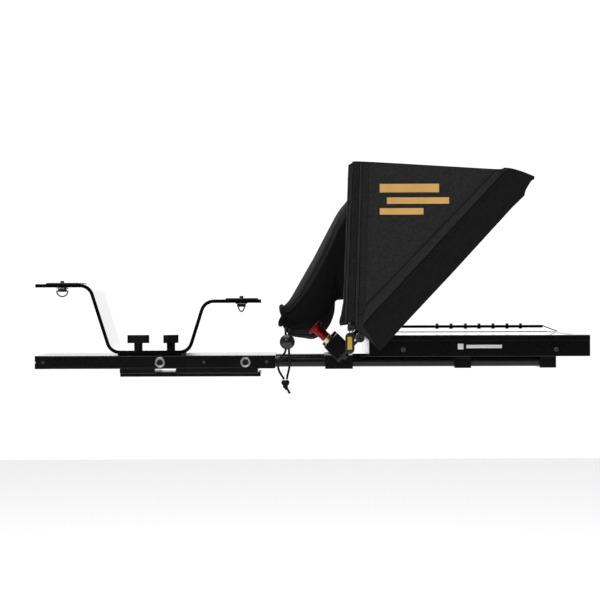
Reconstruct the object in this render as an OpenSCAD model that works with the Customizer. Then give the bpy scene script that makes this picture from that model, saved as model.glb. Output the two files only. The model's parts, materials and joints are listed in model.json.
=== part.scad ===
// Rod-mounted teleprompter: a base with a bent camera riser, two long rods, a tilting
// beam-splitter frame with a fabric hood and lens shroud, and a flat monitor.
// Origin: centre of the tripod thread at the underside of the tripod plate.
// +X points to the speaker, +Y to the left side of the camera, +Z up. Millimetres.

/* [Tripod plate] */
// Length of the tripod plate along X
plate_length = 206; // [200:1:214]
// Width of the tripod plate
plate_width = 96; // [80:1:120]
// Thickness of the tripod plate
plate_thickness = 6.5; // [5:0.5:8]
// Distance between the two small threads of the tripod plate
small_thread_spacing = 160; // [150:1:170]

/* [Base frame] */
// Rear end of the base frame
base_rear_x = -227; // [-240:1:-220]
// Front end of the base frame
base_front_x = 121; // [115:1:121]
// Width of the base frame
base_width = 184; // [180:1:186]
// Height of the rails above the saddle block
rail_height = 19; // [19:0.5:20]
// Width of one side rail
rail_width = 24; // [22:1:26]
// Thickness of the top deck
deck_thickness = 6; // [4:0.5:8]

/* [Rods] */
// Diameter of the support rods
rod_diameter = 15; // [15:0.1:15]
// Distance between the rod centres
rod_spacing = 160; // [158:1:162]
// Rear end of the rods
rod_rear_x = -205; // [-206:1:-150]
// Front end of the rods
rod_front_x = 524; // [515:1:525]

/* [Camera riser] */
// Width of the bent riser plate
riser_width = 180; // [140:1:184]
// Thickness of the bent riser plate
riser_thickness = 5; // [4:0.5:6]
// Middle height of the rear platform
rear_platform_z = 133.5; // [120:0.5:140]
// Middle height of the front platform
front_platform_z = 110.5; // [100:0.5:115]
// Lean of the two slopes away from the vertical, in degrees
slope_lean = 17.5; // [15:0.5:20]
// Middle radius of the bends
bend_radius = 18; // [14:1:20]

/* [Beam splitter] */
// Angle of the glass above the horizontal
glass_angle = 46; // [45:1:47]
// Length of the glass frame up the slope
frame_length = 294; // [280:1:296]
// Outer width of the glass frame
frame_width = 380; // [376:1:380]
// Thickness of the glass
glass_thickness = 3; // [2:0.5:3]

/* [Hood] */
// Thickness of the fabric panels
fabric = 3; // [2:0.5:3]
// Half width of the lens window in the hood's back
window_half_width = 98.5; // [98:0.5:110]

/* [Monitor] */
// Rear edge of the monitor
monitor_rear_x = 253.6; // [253:0.1:256]
// Length of the monitor along X
monitor_length = 310.2; // [305:0.1:312]
// Width of the monitor
monitor_width = 372; // [366:1:372]
// Thickness of the monitor
monitor_thickness = 30; // [28:1:30]

/* [Hidden] */
$fn = 64;

running = 0.05;                       // radial clearance of a shaft in its bore
saddle_height = 6.5;
plate_x = [-plate_length / 2 - 4, plate_length / 2 - 4];
saddle_x = [[plate_x[0] + 3, -53], [-23, plate_x[1] - 3]];
rail_z = [plate_thickness + saddle_height, plate_thickness + saddle_height + rail_height];
rear_bar_length = 21;
front_bar_length = 25;
rail_x = [base_rear_x + rear_bar_length, base_front_x - front_bar_length];
half_base = base_width / 2;
rod_y = rod_spacing / 2;
rod_z = rail_z[0] + rail_height / 2;
rod_r = rod_diameter / 2;
rod_bore_r = rod_r + running;
blind_bore_x = base_rear_x + 6;       // where the rod bores end in the rear bar
clamp_bolt_x = [-45.7, 77.9];
bar_screw_x = [-215.4, 108.4];
saddle_screw_at = [[-12, 36], [58, 36]];

riser_knob_x = [-83.8, -35.3];
riser_knob_angle = [0, 62];
knob_shank_r = 4;
web_bottom_z = rail_z[1] + 2.5;
web_z = web_bottom_z + riser_thickness / 2;
web_x = [-117.5, -4.3];
riser_travel = [-18, 15];
rear_bend_x = web_x[0] - (rear_platform_z - web_z) * tan(slope_lean);
front_bend_x = web_x[1] + (front_platform_z - web_z) * tan(slope_lean);
platform_x = [-226, 101];

camera_screw_r = 3.175;               // 1/4 inch camera thread
camera_neck_r = 2.6;                  // plain neck of the captive screws
camera_screw_x = [-196.8, 69.8];
camera_slot_x = [[-205, -175], [58, 84]];
pad_x = [[-214, -166], [48, 94]];
pad_thickness = 2;
ring_r = 8.3;
ring_wire_r = 0.95;
ring_angle = [0, 60];

slope_x = 222.9;                      // a point of the glass frame's middle plane
slope_z = 38.6;
pivot_u = 27.3;                       // frame pivot, up the slope and off its middle
pivot_n = -1.3;
pivot_r = 3;
knob_u = -6;                          // axis of the red clamp knobs along the slope
knob_y = 119;
block_y = [106, 132];
leg_y = [107, 131];
leg_n = [-3.2, 0.5];
frame_u = [36, 36 + frame_length];
frame_n = [-3, 5];
bar_width = 10;
half_frame = frame_width / 2;

bracket_x = [193, 232.8];
bracket_z = [12.6, 32.3];
monitor_clamp_x = [[380, 404], [503, 527]];
monitor_x = [monitor_rear_x, monitor_rear_x + monitor_length];
monitor_z = [rail_z[1], rail_z[1] + monitor_thickness];
half_monitor = monitor_width / 2;
bezel_split_z = monitor_z[1] - 8;
bezel_lip = 0.8;
screen_size = [270.3, 338];           // visible picture of a 17 inch 5:4 panel
button_x = [372.4, 394.4, 417, 438.4, 460.4, 482.4, 503.6];
button_y = half_monitor - 5;
strip_z = [67.5, 71.7];
strip_x = [317, 538];

// Side outline of the hood, in X and Z, clockwise from its lower rear corner
hood_outline = [
    [215, 74.6], [212.4, 80.2], [213.8, 88.6], [218.2, 113.8], [225.7, 299.3],
    [232, 303], [245, 304.6], [367, 297.4], [437, 294.5], [455, 294], [470, 289.4],
    [485.4, 283], [478, 273], [472.5, 262], [454.7, 240.8], [374, 153], [302, 76.5],
    [268.6, 39.3], [253, 55.5], [228, 77.6]
];
// The left side has no zipper flap, so it stops at the back panel's line
hood_outline_left = concat([[228, 77.6], [223.5, 84], [226, 112], [233.8, 298]],
    [for (i = [5:18]) hood_outline[i]]);
back_line = [[226, 112], [233.8, 299.3]];
back_window_z = [117.5, 264];
hood_roof = concat([[233.8, 303.4]], [for (i = [6:11]) hood_outline[i]]);
hood_y = [half_frame, half_frame + fabric];
zipper_foot = [228, 80];              // middle line of the zipper, in X and Z
zipper_head = [236.7, 301];
zipper_width = 10;
pull_pin = [-200.2, 70.5];            // Y and Z of the zipper pull's hinge

// Lens shroud rings: top point, bottom point (X, Z) and half width
shroud_rings = [
    [[234, 259], [228.5, 122], 96], [[224, 252], [218.5, 114], 97],
    [[214, 241], [208.5, 110], 97], [[203, 220.5], [207.5, 93], 96.5],
    [[190, 196], [201, 75], 95.5], [[177, 171.5], [190, 62], 94],
    [[165, 151.5], [177, 54.5], 91], [[153, 131], [162, 56], 88],
    [[141, 110], [147, 62], 85], [[131, 102], [131, 70], 82]
];
shroud_steps = 32;
shroud_square = 0.62;                 // 1 gives ellipses, less gives squarer rings

cord_r = 1.6;
lock_at = [138.5, -104, 51.6];
lock_r = 11;
lock_bores_x = [136.2, 140.8];
lock_button_r = 4;
knot_at = [135.6, -104, -8.7];
drawcord_rear_route = [
    [137, -86.5, 71], [136.4, -91, 71.5], [136, -96, 70.5], [136, -100.5, 68],
    [136.2, -103.5, 64.5], [136.2, -104, 60], [136.2, -104, 54], [136.2, -104, 47],
    [136.2, -104, 41], [134.8, -104, 36], [131.4, -104, 31.5], [127.8, -104, 27],
    [125.6, -104, 21.5], [125.2, -104, 15.5], [126.8, -104, 9.5], [129.6, -104, 4.5],
    [132.2, -104, 0.5], [133.4, -104, -2.4]
];
drawcord_front_route = [
    [142, -86.5, 69], [141.8, -91, 69.8], [141.4, -96, 69], [141, -100.5, 67],
    [140.8, -103.5, 64], [140.8, -104, 60], [140.8, -104, 54], [140.8, -104, 47],
    [140.8, -104, 41], [141.1, -104, 35], [141.6, -104, 29], [141.9, -104, 23],
    [141.6, -104, 17], [140.6, -104, 11], [139.2, -104, 5.5], [138.2, -104, 1],
    [137.8, -104, -2.4]
];
knot_tail_route = [
    [137.5, -104, -14], [138.8, -104, -17], [140.4, -104, -20], [142, -104, -22.6]
];

// ---- helpers ----

function unit(v) = v / norm(v);
function turned(v) = [-v[1], v[0]];
function span(from, low, high) = [from + low, from + high];
function signed_power(v, p) = (v < 0 ? -1 : 1) * pow(abs(v), p);

module box(x, y, z) {
    translate([x[0], y[0], z[0]]) cube([x[1] - x[0], y[1] - y[0], z[1] - z[0]]);
}

module both_sides() {
    children();
    mirror([0, 1, 0]) children();
}

module rod_along_x(x, y, z, r) {
    translate([x[0], y, z]) rotate([0, 90, 0]) cylinder(h = x[1] - x[0], r = r);
}

module rod_along_y(x, y, z, r) {
    translate([x, y[1], z]) rotate([90, 0, 0]) cylinder(h = y[1] - y[0], r = r);
}

module post(x, y, z, r) {
    translate([x, y, z[0]]) cylinder(h = z[1] - z[0], r = r);
}

// Prism across Y whose outline is given in X and Z
module prism(outline, y) {
    translate([0, y[1], 0]) rotate([90, 0, 0]) linear_extrude(y[1] - y[0]) polygon(outline);
}

// Slot along X with round ends, cut downwards through z
module slot(x, y, z, r) {
    box(x, [y - r, y + r], z);
    for (end = x) post(end, y, z, r);
}

module hex_socket(depth, width) {
    cylinder(h = depth, r = width / sqrt(3), $fn = 6);
}

// Places a child in the glass frame's own directions: X up the slope, Z above the glass
module on_slope() {
    translate([slope_x, 0, slope_z]) rotate([0, -glass_angle, 0]) children();
}

// One bend of a plate's middle line: points at a distance from the line, along an arc
function bend(p0, p1, p2, radius, side) =
    let (a = unit(p1 - p0), b = unit(p2 - p1),
         left = a[0] * b[1] - a[1] * b[0] > 0 ? 1 : -1,
         turn = acos(a * b), back = radius * tan(turn / 2),
         centre = p1 - a * back + turned(a) * left * radius)
    [for (i = [0:6])
        let (angle = turn * i / 6, normal = -turned(a) * left)
        centre + (radius - left * side) * (normal * cos(angle) + a * sin(angle))];

function one_side(points, radius, side) =
    let (last = len(points) - 1)
    concat(
        [points[0] + turned(unit(points[1] - points[0])) * side],
        [for (i = [1:last - 1])
            each bend(points[i - 1], points[i], points[i + 1], radius, side)],
        [points[last] + turned(unit(points[last] - points[last - 1])) * side]);

function reversed(list) = [for (i = [len(list) - 1:-1:0]) list[i]];

// Strip of even width below or behind an open line of points
function strip_outline(points, shift) =
    concat(points, [for (p = reversed(points)) p + shift]);

// Round tube swept along a route; every ring stands square to the route
module swept_tube(route, radius, sides) {
    last = len(route) - 1;
    points = [for (i = [0:last])
        let (way = unit(route[min(i + 1, last)] - route[max(i - 1, 0)]),
             across = unit(cross(way, [1, 0, 0.2])), up = cross(across, way))
        for (k = [0:sides - 1])
            route[i] + radius * (across * cos(360 * k / sides) + up * sin(360 * k / sides))];
    walls = [for (i = [0:last - 1], k = [0:sides - 1])
        let (next = (k + 1) % sides)
        [i * sides + k, i * sides + next, (i + 1) * sides + next, (i + 1) * sides + k]];
    ends = [[for (k = [sides - 1:-1:0]) k], [for (k = [0:sides - 1]) last * sides + k]];
    polyhedron(points, concat(walls, ends), convexity = 6);
}

// ---- base ----

module tripod_plate() {
    color("dimgray") difference() {
        box(plate_x, [-plate_width / 2, plate_width / 2], [0, plate_thickness]);
        post(0, 0, [-1, plate_thickness + 1], 4.7625);
        for (side = [-1, 1])
            post(side * small_thread_spacing / 2, 0, [-1, plate_thickness + 1], camera_screw_r);
        for (at = saddle_screw_at, side = [-1, 1]) {
            post(at[0], side * at[1], [-1, plate_thickness + 1], 3);
            post(at[0], side * at[1], [-1, 3.6], 5.2);
        }
    }
}

module saddle_block() {
    color("black") difference() {
        for (x = saddle_x) box(x, [-half_base, half_base], [plate_thickness, rail_z[0]]);
        for (side = [-1, 1])
            post(side * small_thread_spacing / 2, 0, [plate_thickness - 1, rail_z[0] + 1],
                 camera_screw_r);
        post(0, 0, [plate_thickness - 1, rail_z[0] + 1], 6);
        for (at = saddle_screw_at, side = [-1, 1])
            post(at[0], side * at[1], [plate_thickness - 1, rail_z[0] + 1], 3);
    }
}

module saddle_screws() {
    color("silver") for (at = saddle_screw_at, side = [-1, 1]) difference() {
        union() {
            post(at[0], side * at[1], [0.4, 3.6], 5.2);
            post(at[0], side * at[1], [3.6, rail_z[0] - 0.5], 3);
        }
        translate([at[0], side * at[1], -1]) hex_socket(3, 5);
    }
}

module deck_plate() {
    color("black") difference() {
        box(rail_x, [rail_width - half_base, half_base - rail_width],
            [rail_z[1] - deck_thickness, rail_z[1]]);
        for (x = riser_knob_x)
            post(x, 0, [rail_z[1] - deck_thickness - 1, rail_z[1] + 1], knob_shank_r + running);
    }
}

module side_rail() {
    difference() {
        box(rail_x, [half_base - rail_width, half_base], rail_z);
        rod_along_x([rail_x[0] - 1, rail_x[1] + 1], rod_y, rod_z, rod_bore_r);
        for (x = clamp_bolt_x) rod_along_y(x, [rod_y, half_base + 1], rod_z, 4);
    }
}

module side_rail_left() {
    color("black") side_rail();
}

module side_rail_right() {
    color("black") mirror([0, 1, 0]) side_rail();
}

module cross_bar(x, bore_x, screw_x, groove_x) {
    color("black") difference() {
        box(x, [-half_base, half_base], rail_z);
        both_sides() {
            rod_along_x(bore_x, rod_y, rod_z, rod_bore_r);
            rod_along_y(screw_x, [rod_y, half_base + 1], rod_z, 2.5);
        }
        box(groove_x, [-half_base - 1, half_base + 1], [rod_z - 1.2, rod_z + 1.2]);
    }
}

module rear_cross_bar() {
    cross_bar([base_rear_x, rail_x[0]], [blind_bore_x, rail_x[0] + 1], bar_screw_x[0],
        [base_rear_x - 1, base_rear_x + 1.2]);
}

module front_cross_bar() {
    cross_bar([rail_x[1], base_front_x], [rail_x[1] - 1, base_front_x + 1], bar_screw_x[1],
        [base_front_x - 1.2, base_front_x + 1]);
}

module rod_clamp_bolts() {
    color("silver") both_sides() for (x = clamp_bolt_x) difference() {
        union() {
            rod_along_y(x, [half_base, half_base + 4.5], rod_z, 7.5);
            rod_along_y(x, [rod_y + rod_r + 0.3, half_base], rod_z, 4);
        }
        translate([x, half_base + 1.2, rod_z]) rotate([-90, 0, 0]) hex_socket(5, 8);
    }
}

module bar_screws() {
    color("gray") both_sides() for (x = bar_screw_x) difference() {
        rod_along_y(x, [rod_y + rod_r + 0.3, half_base - 0.3], rod_z, 2.5);
        translate([x, half_base - 2.2, rod_z]) rotate([-90, 0, 0]) hex_socket(3, 2.6);
    }
}

// ---- rods ----

module rod(side) {
    color("dimgray") rod_along_x([rod_rear_x, rod_front_x], side * rod_y, rod_z, rod_r);
}

module rod_left() {
    rod(1);
}

module rod_right() {
    rod(-1);
}

// ---- camera riser ----

module knob_slots(z) {
    for (x = riser_knob_x)
        slot([x - riser_travel[1], x - riser_travel[0]], 0, z, knob_shank_r + 0.5);
}

module riser_plate() {
    middle = [[platform_x[0], rear_platform_z], [rear_bend_x, rear_platform_z],
              [web_x[0], web_z], [web_x[1], web_z],
              [front_bend_x, front_platform_z], [platform_x[1], front_platform_z]];
    half = riser_thickness / 2;
    outline = concat(one_side(middle, bend_radius, half),
                     reversed(one_side(middle, bend_radius, -half)));
    color("gainsboro") difference() {
        prism(outline, [-riser_width / 2, riser_width / 2]);
        knob_slots([web_z - riser_thickness, web_z + riser_thickness]);
        slot(camera_slot_x[0], 0, span(rear_platform_z, -riser_thickness, riser_thickness), 3.5);
        slot(camera_slot_x[1], 0, span(front_platform_z, -riser_thickness, riser_thickness), 3.5);
    }
}

module platform_pad(x, slot_x, z) {
    difference() {
        box(x, [-60, 60], [z, z + pad_thickness]);
        slot(slot_x, 0, [z - 1, z + pad_thickness + 1], 4.5);
    }
}

module rubber_pads() {
    half = riser_thickness / 2;
    color("dimgray") {
        platform_pad(pad_x[0], camera_slot_x[0], rear_platform_z + half);
        platform_pad(pad_x[1], camera_slot_x[1], front_platform_z + half);
        difference() {
            box([web_x[0] + 12, web_x[1] - 12], [-80, 80], [rail_z[1] + 0.1, web_bottom_z]);
            knob_slots([rail_z[1] - 1, web_bottom_z + 1]);
        }
    }
}

// Bar-headed clamp knob on a threaded shank
module riser_knob(x, angle) {
    stem_z = [web_bottom_z + riser_thickness + 0.1, web_bottom_z + riser_thickness + 9];
    half_bar = 10.6;
    color("dimgray") translate([x, 0, 0]) rotate([0, 0, angle]) {
        post(0, 0, [rail_z[1] - deck_thickness - 2, stem_z[0]], knob_shank_r);
        post(0, 0, stem_z, 6.3);
        slot([-half_bar, half_bar], 0, [stem_z[1], stem_z[1] + 12], 5.75);
    }
}

module riser_knob_rear() {
    riser_knob(riser_knob_x[0], riser_knob_angle[0]);
}

module riser_knob_front() {
    riser_knob(riser_knob_x[1], riser_knob_angle[1]);
}

module captive_washer(x, platform_z) {
    under = platform_z - riser_thickness / 2;
    color("silver") difference() {
        post(x, 0, [under - 1.5, under - 0.1], 9);
        post(x, 0, [under - 3, under + 1], camera_neck_r + running);
    }
}

// Captive camera screw: thread above the pad, plain neck through the plate, and a hub below
// it with a cross hole for its ring
module camera_screw(x, platform_z, angle) {
    under = platform_z - riser_thickness / 2;
    hub_z = [under - 6, under - 1.6];
    pad_z = under + riser_thickness + pad_thickness;
    color("dimgray") difference() {
        union() {
            post(x, 0, [hub_z[1] - 1, pad_z + 0.5], camera_neck_r);
            post(x, 0, [pad_z + 0.3, pad_z + 3.4], camera_screw_r);
            post(x, 0, hub_z, 6.75);
        }
        translate([x, 0, hub_z[0] + 1.4]) rotate([0, 90, angle])
            cylinder(h = 20, r = ring_wire_r + running, center = true);
    }
}

module screw_ring(x, platform_z, angle) {
    pin_z = platform_z - riser_thickness / 2 - 4.6;
    color("silver") translate([x, 0, pin_z]) rotate([0, 0, angle]) {
        rotate([0, 90, 0]) cylinder(h = 2 * ring_r, r = ring_wire_r, center = true);
        rotate([90, 0, 0]) rotate([0, 0, 180]) rotate_extrude(angle = 180)
            translate([ring_r, 0]) circle(r = ring_wire_r, $fn = 24);
    }
}

module captive_washer_rear() {
    captive_washer(camera_screw_x[0], rear_platform_z);
}

module captive_washer_front() {
    captive_washer(camera_screw_x[1], front_platform_z);
}

module camera_screw_rear() {
    camera_screw(camera_screw_x[0], rear_platform_z, ring_angle[0]);
}

module camera_screw_front() {
    camera_screw(camera_screw_x[1], front_platform_z, ring_angle[1]);
}

module screw_ring_rear() {
    screw_ring(camera_screw_x[0], rear_platform_z, ring_angle[0]);
}

module screw_ring_front() {
    screw_ring(camera_screw_x[1], front_platform_z, ring_angle[1]);
}

// ---- hood mount ----

receiver_outline = [[-19, 0.55], [0.5, 0.55], [10, 12], [10, 27], [-18, 27]];

module hood_bracket() {
    color("black") difference() {
        union() {
            box(bracket_x, [-block_y[0], block_y[0]], bracket_z);
            both_sides() on_slope() prism(receiver_outline, [block_y[0] - 6, block_y[0]]);
        }
        both_sides()
            rod_along_x([bracket_x[0] - 1, bracket_x[1] + 1], rod_y, rod_z, rod_bore_r);
    }
}

module receiver_blocks() {
    color("black") both_sides() on_slope() difference() {
        prism(receiver_outline, block_y);
        post(knob_u, knob_y, [-1, 28], pivot_r + running);
    }
}

module clamp_bushes() {
    color("tan") both_sides() on_slope() difference() {
        union() {
            post(knob_u, knob_y, [27, 34], 7);
            box(span(knob_u, -6, 6), span(knob_y, -6, 6), span(leg_n[0], -4.05, -0.05));
        }
        post(knob_u, knob_y, [-12, 40], pivot_r + running);
    }
}

module red_knob() {
    color("darkred") on_slope() {
        post(knob_u, knob_y, [leg_n[0] - 3.6, 34.1], pivot_r);
        post(knob_u, knob_y, [34.1, 53.3], 7);
        post(knob_u, knob_y, [53.3, 58.3], 11.7);
    }
}

module red_knob_left() {
    red_knob();
}

module red_knob_right() {
    mirror([0, 1, 0]) red_knob();
}

// ---- glass frame ----

module frame_legs() {
    color("dimgray") both_sides() on_slope() difference() {
        union() {
            box([-19, pivot_u], leg_y, leg_n);
            rod_along_y(pivot_u, leg_y, pivot_n, 6.5);
        }
        rod_along_y(pivot_u, [leg_y[0] - 1, leg_y[1] + 1], pivot_n, pivot_r);
        slot([knob_u - 6, knob_u], knob_y, [leg_n[0] - 1, leg_n[1] + 1], pivot_r + 0.2);
    }
}

module pivot_bolts() {
    color("black") both_sides() on_slope() {
        rod_along_y(pivot_u, [leg_y[0] - 12, leg_y[1]], pivot_n, pivot_r);
        difference() {
            rod_along_y(pivot_u, [leg_y[1], leg_y[1] + 5], pivot_n, 5.6);
            translate([pivot_u, leg_y[1] + 2, pivot_n]) rotate([-90, 0, 0]) hex_socket(4, 4);
        }
    }
}

module glass_sheet() {
    box([frame_u[0] + 6, frame_u[1] - 6], [-half_frame + 6, half_frame - 6],
        [0, glass_thickness]);
}

module beam_splitter() {
    color([0.6, 0.7, 0.7, 0.4]) on_slope() glass_sheet();
}

module frame_side_bars() {
    color("black") both_sides() on_slope() difference() {
        box(frame_u, [half_frame - bar_width, half_frame], frame_n);
        glass_sheet();
    }
}

// Lower and upper bars; the lower one carries the two pivot lugs
module frame_cross_bars() {
    inner = half_frame - bar_width;
    lug_y = [leg_y[0] - 11, leg_y[0] - 0.3];
    color("black") on_slope() difference() {
        union() {
            box([frame_u[0], frame_u[0] + 14], [-inner, inner], frame_n);
            box([frame_u[1] - 12, frame_u[1]], [-inner, inner], frame_n);
            both_sides() {
                rod_along_y(pivot_u, lug_y, pivot_n, 5);
                box([pivot_u, frame_u[0] + 2], lug_y, frame_n);
            }
        }
        glass_sheet();
        both_sides() rod_along_y(pivot_u, [lug_y[0] - 1, lug_y[1] + 1], pivot_n,
            pivot_r + running);
    }
}

// ---- hood ----

module hood_side_left() {
    color("dimgray") prism(hood_outline_left, hood_y);
}

module hood_side_right() {
    color("dimgray") mirror([0, 1, 0]) prism(hood_outline, hood_y);
}

module hood_top() {
    color("dimgray") prism(strip_outline(hood_roof, [0, -fabric]), [-half_frame, half_frame]);
}

// Back panel with the lens window; it stops under the roof sheet
module hood_back() {
    color("dimgray") difference() {
        prism(strip_outline(back_line, [fabric, 0]), [-half_frame, half_frame]);
        box([200, 260], [-window_half_width, window_half_width], back_window_z);
        box([200, 260], [-half_frame - 1, half_frame + 1], [298, 310]);
    }
}

// Soft tunnel from the hood's back to its gathered mouth, hollow all the way
module lens_shroud() {
    last = len(shroud_rings) - 1;
    n = shroud_steps;
    function way(i, side) =
        unit(shroud_rings[min(i + 1, last)][side] - shroud_rings[max(i - 1, 0)][side]);
    function ring(i, inset) =
        let (top = shroud_rings[i][0] + turned(way(i, 0)) * inset,
             bottom = shroud_rings[i][1] - turned(way(i, 1)) * inset,
             middle = (top + bottom) / 2, half = (top - bottom) / 2,
             wide = shroud_rings[i][2] - inset)
        [for (k = [0:n - 1])
            let (up = signed_power(sin(360 * k / n), shroud_square),
                 over = signed_power(cos(360 * k / n), shroud_square))
            [middle[0] + half[0] * up, wide * over, middle[1] + half[1] * up]];
    outer = [for (i = [0:last]) each ring(i, 0)];
    inner = [for (i = [0:last]) each ring(i, fabric)];
    first_inner = len(outer);
    walls = [for (i = [0:last - 1], k = [0:n - 1])
        let (next = (k + 1) % n, a = i * n, b = (i + 1) * n)
        each [[a + k, b + k, b + next], [a + k, b + next, a + next],
              [first_inner + a + k, first_inner + b + next, first_inner + b + k],
              [first_inner + a + k, first_inner + a + next, first_inner + b + next]]];
    rims = [for (k = [0:n - 1])
        let (next = (k + 1) % n, m = last * n)
        each [[k, next, first_inner + next], [k, first_inner + next, first_inner + k],
              [m + k, first_inner + m + next, m + next],
              [m + k, first_inner + m + k, first_inner + m + next]]];
    color("dimgray") polyhedron(concat(outer, inner), concat(walls, rims), convexity = 8);
}

module hood_zipper() {
    half = zipper_width / 2;
    color("black") prism([zipper_foot - [half, 0], zipper_foot + [half, 0],
        zipper_head + [half, 0], zipper_head - [half, 0]],
        [-hood_y[1] - 1.2, -hood_y[1]]);
}

module zipper_slider() {
    plate_y = [-hood_y[1] - 5, -hood_y[1] - 1.4];
    color("silver") difference() {
        union() {
            box([223, 233], plate_y, [67.5, 81]);
            for (x = [223.6, 230.2]) box([x, x + 2.2], [-202, plate_y[0]], [67.5, 73]);
        }
        rod_along_x([222, 234], pull_pin[0], pull_pin[1], 0.9 + running);
    }
}

module zipper_pull() {
    color("gold") {
        rod_along_x([223.6, 232.4], pull_pin[0], pull_pin[1], 0.9);
        box([226.6, 229.4], span(pull_pin[0], -1.2, 1.2), [64, pull_pin[1] + 1.2]);
        box([220, 233], span(pull_pin[0], -1.6, 1.4), [36.5, 64]);
    }
}

// ---- drawcord ----

module cord_lock() {
    color("dimgray") difference() {
        translate(lock_at) rotate([-90, 0, 0]) rotate([0, 90, 0]) sphere(r = lock_r);
        for (x = lock_bores_x)
            post(x, lock_at[1], span(lock_at[2], -lock_r - 1, lock_r + 1), cord_r + 0.35);
        rod_along_y(lock_at[0], span(lock_at[1], 5.8, lock_r + 1), lock_at[2],
            lock_button_r + running);
    }
}

module cord_lock_button() {
    color("black") rod_along_y(lock_at[0], span(lock_at[1], 8.4, 14), lock_at[2], lock_button_r);
}

module drawcord_rear() {
    color("black") swept_tube(drawcord_rear_route, cord_r, 8);
}

module drawcord_front() {
    color("black") swept_tube(drawcord_front_route, cord_r, 8);
}

module drawcord_knot() {
    color("black") {
        translate(knot_at) {
            translate([0, 0, 2]) sphere(r = 4.6);
            translate([0.4, 0, -2]) sphere(r = 5);
        }
        swept_tube(knot_tail_route, cord_r, 8);
    }
}

// ---- monitor ----

socket_x = [[330, 346], [356, 366], [376, 408]];
socket_z = [38, 47];

module monitor_case() {
    wall = 2.5;
    floor_thickness = 3;
    color("black") difference() {
        box(monitor_x, [-half_monitor, half_monitor], [monitor_z[0], bezel_split_z]);
        box(monitor_x + [wall, -wall], [wall - half_monitor, half_monitor - wall],
            [monitor_z[0] + floor_thickness, bezel_split_z + 1]);
        for (x = socket_x) box(x + [-0.2, 0.2], [half_monitor - 6, half_monitor + 1], socket_z);
    }
}

module monitor_bezel() {
    middle = (monitor_x[0] + monitor_x[1]) / 2;
    lip_z = monitor_z[1] - bezel_lip;
    color("black") difference() {
        hull() {
            box(monitor_x, [-half_monitor, half_monitor], [bezel_split_z, monitor_z[1] - 1]);
            box(monitor_x + [1, -1], [1 - half_monitor, half_monitor - 1],
                [bezel_split_z, monitor_z[1]]);
        }
        box(monitor_x + [4.4, -4.4], [5 - half_monitor, half_monitor - 5],
            [bezel_split_z - 1, lip_z]);
        box(span(middle, -screen_size[0] / 2, screen_size[0] / 2),
            [-screen_size[1] / 2, screen_size[1] / 2], [lip_z - 1, monitor_z[1] + 1]);
    }
}

module monitor_screen() {
    color("darkslategray") box(monitor_x + [5, -5], [6 - half_monitor, half_monitor - 6],
        [bezel_split_z - 2, monitor_z[1] - bezel_lip]);
}

// Circuit board on stand-offs, with the sockets that show in the case's side
module driver_board() {
    floor_z = monitor_z[0] + 3;
    board_y = [60, half_monitor - 3];
    color("green") {
        box([300, 480], board_y, [floor_z + 1, socket_z[0]]);
        for (x = [306, 474], y = [66, half_monitor - 9]) post(x, y, [floor_z, floor_z + 1], 3);
        for (x = socket_x) difference() {
            box(x, [half_monitor - 15, half_monitor - 0.8], socket_z);
            box(x + [1.2, -1.2], [half_monitor - 8, half_monitor], socket_z + [1.4, -1.4]);
        }
    }
}

// Raised bridge with the control buttons, standing on the bezel at its far edge
module control_strip() {
    y = [half_monitor - 10, half_monitor];
    z = monitor_z[1];
    color("black") difference() {
        union() {
            box(strip_x, y, strip_z);
            prism([[strip_x[1], 69.6], [558.4, z], [562.4, z], [strip_x[1], 71]], y);
            prism([[strip_x[0], 69.6], [296.6, z], [292.6, z], [strip_x[0], 71]], y);
        }
        for (x = button_x) post(x, button_y, strip_z + [-1, 1], 2 + running);
    }
}

module case_screws() {
    color("gray") both_sides() for (x = [301.7, 516]) difference() {
        rod_along_y(x, span(half_monitor, 0, 0.8), 41.7, 3.4);
        translate([x, half_monitor + 0.2, 41.7]) rotate([-90, 0, 0]) hex_socket(2, 2.6);
    }
}

module monitor_clamp(x) {
    color("black") difference() {
        union() {
            box(x, [-94, 94], [rail_z[0], monitor_z[0]]);
            box([x[0] - 7.5, x[0]], [-70, 70], [monitor_z[0] - 5, monitor_z[0]]);
        }
        both_sides() rod_along_x(x + [-9, 1], rod_y, rod_z, rod_bore_r);
    }
}

module monitor_clamp_rear() {
    monitor_clamp(monitor_clamp_x[0]);
}

module monitor_clamp_front() {
    monitor_clamp(monitor_clamp_x[1]);
}

// Control button: cap, stem through the bridge, and a retaining flange below
module button(x) {
    color("gray") {
        post(x, button_y, [72.8, 74.3], 2.8);
        post(x, button_y, [66, 72.8], 2);
        post(x, button_y, [65.9, 67.4], 2.8);
    }
}

tripod_plate();
saddle_block();
deck_plate();
side_rail_left();
side_rail_right();
rear_cross_bar();
front_cross_bar();
rod_clamp_bolts();
bar_screws();
saddle_screws();
rod_left();
rod_right();
riser_plate();
rubber_pads();
riser_knob_rear();
riser_knob_front();
captive_washer_rear();
camera_screw_rear();
screw_ring_rear();
captive_washer_front();
camera_screw_front();
screw_ring_front();
hood_bracket();
receiver_blocks();
clamp_bushes();
red_knob_left();
red_knob_right();
frame_legs();
pivot_bolts();
frame_cross_bars();
frame_side_bars();
beam_splitter();
hood_side_left();
hood_side_right();
hood_top();
hood_back();
lens_shroud();
hood_zipper();
zipper_slider();
zipper_pull();
cord_lock();
cord_lock_button();
drawcord_rear();
drawcord_front();
drawcord_knot();
monitor_case();
monitor_bezel();
monitor_screen();
driver_board();
control_strip();
case_screws();
monitor_clamp_rear();
monitor_clamp_front();
for (i = [0:6]) button(button_x[i]);
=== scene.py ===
import json
import math
import bpy
import bmesh
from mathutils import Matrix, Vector, noise


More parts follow.
